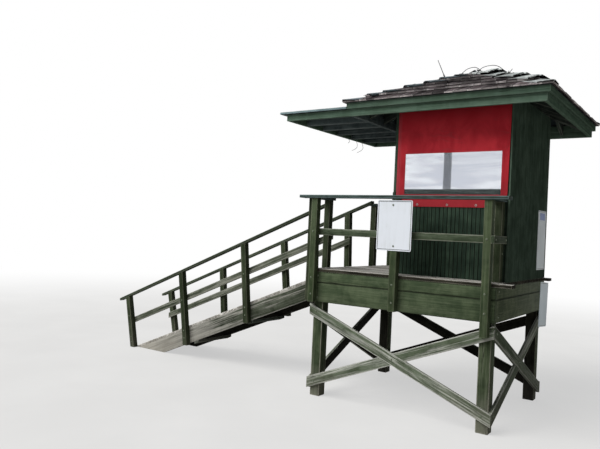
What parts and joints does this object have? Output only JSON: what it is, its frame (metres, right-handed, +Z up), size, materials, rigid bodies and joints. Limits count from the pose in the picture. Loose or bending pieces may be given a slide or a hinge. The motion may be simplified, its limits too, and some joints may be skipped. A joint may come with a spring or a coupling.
{
  "type": "lifeguard tower",
  "caption": "Raised timber lifeguard tower: braced legs, railed porch, long ramp with handrails, and a small hut with a hip roof, flat awning and drop curtain.",
  "frame": {"origin": "middle of the tower's bounding box, on the ground", "axes": "+X along the front, from the ramp's foot towards the hut; +Y to the back; +Z up"},
  "size_m": [7.301, 2.72, 4.5042],
  "materials": {
    "painted_lumber": "weathered green paint, worn grey on edges",
    "green_siding": "dark green paint, matte",
    "deck_boards": "bare weathered grey boards",
    "raw_lumber": "stained dark in the shade",
    "wood_shakes": "dry brown-grey split shakes",
    "roof_sheet": "matte green sheet edge",
    "curtain_vinyl": "semi-gloss vinyl cloth",
    "clear_vinyl": "clear flexible sheet",
    "sign_panel": "satin white",
    "aerial_rod": "matte black"
  },
  "bodies": {
    "root": {"awning_frame": "raw_lumber", "awning_roof": "roof_sheet", "back_cap": "painted_lumber", "back_rail_posts": "painted_lumber", "braces_back": "painted_lumber", "braces_front": "painted_lumber", "braces_sides": "painted_lumber", "curtain": "curtain_vinyl", "curtain_window": "clear_vinyl", "deck_floor": "deck_boards", "deck_joists": "raw_lumber", "fascia_boards": "painted_lumber", "fascia_trim": "painted_lumber", "fascia_upper": "painted_lumber", "front_cap": "painted_lumber", "front_rail_posts": "painted_lumber", "hip_frame": "raw_lumber", "hut_plates": "raw_lumber", "hut_posts": "painted_lumber", "hut_sills": "painted_lumber", "hut_studs": "raw_lumber", "hut_wall_back": "green_siding", "hut_wall_front": "green_siding", "hut_wall_right": "green_siding", "legs": "painted_lumber", "mid_rails": "painted_lumber", "rafters": "raw_lumber", "rail_sign": "sign_panel", "ramp_bearers": "painted_lumber", "ramp_floor": "deck_boards", "ramp_handrails": "painted_lumber", "ramp_mid_rails": "painted_lumber", "ramp_posts": "painted_lumber", "ramp_stringers": "painted_lumber", "roof_back_slope": "wood_shakes", "roof_front_slope": "wood_shakes", "roof_left_slope": "wood_shakes", "roof_right_slope": "wood_shakes", "side_caps": "painted_lumber", "side_rail_posts": "painted_lumber", "side_signs": "sign_panel", "skirt_back": "painted_lumber", "skirt_front": "painted_lumber", "skirt_sides": "painted_lumber", "whip_aerial": "aerial_rod"}
  },
  "joints": []
}
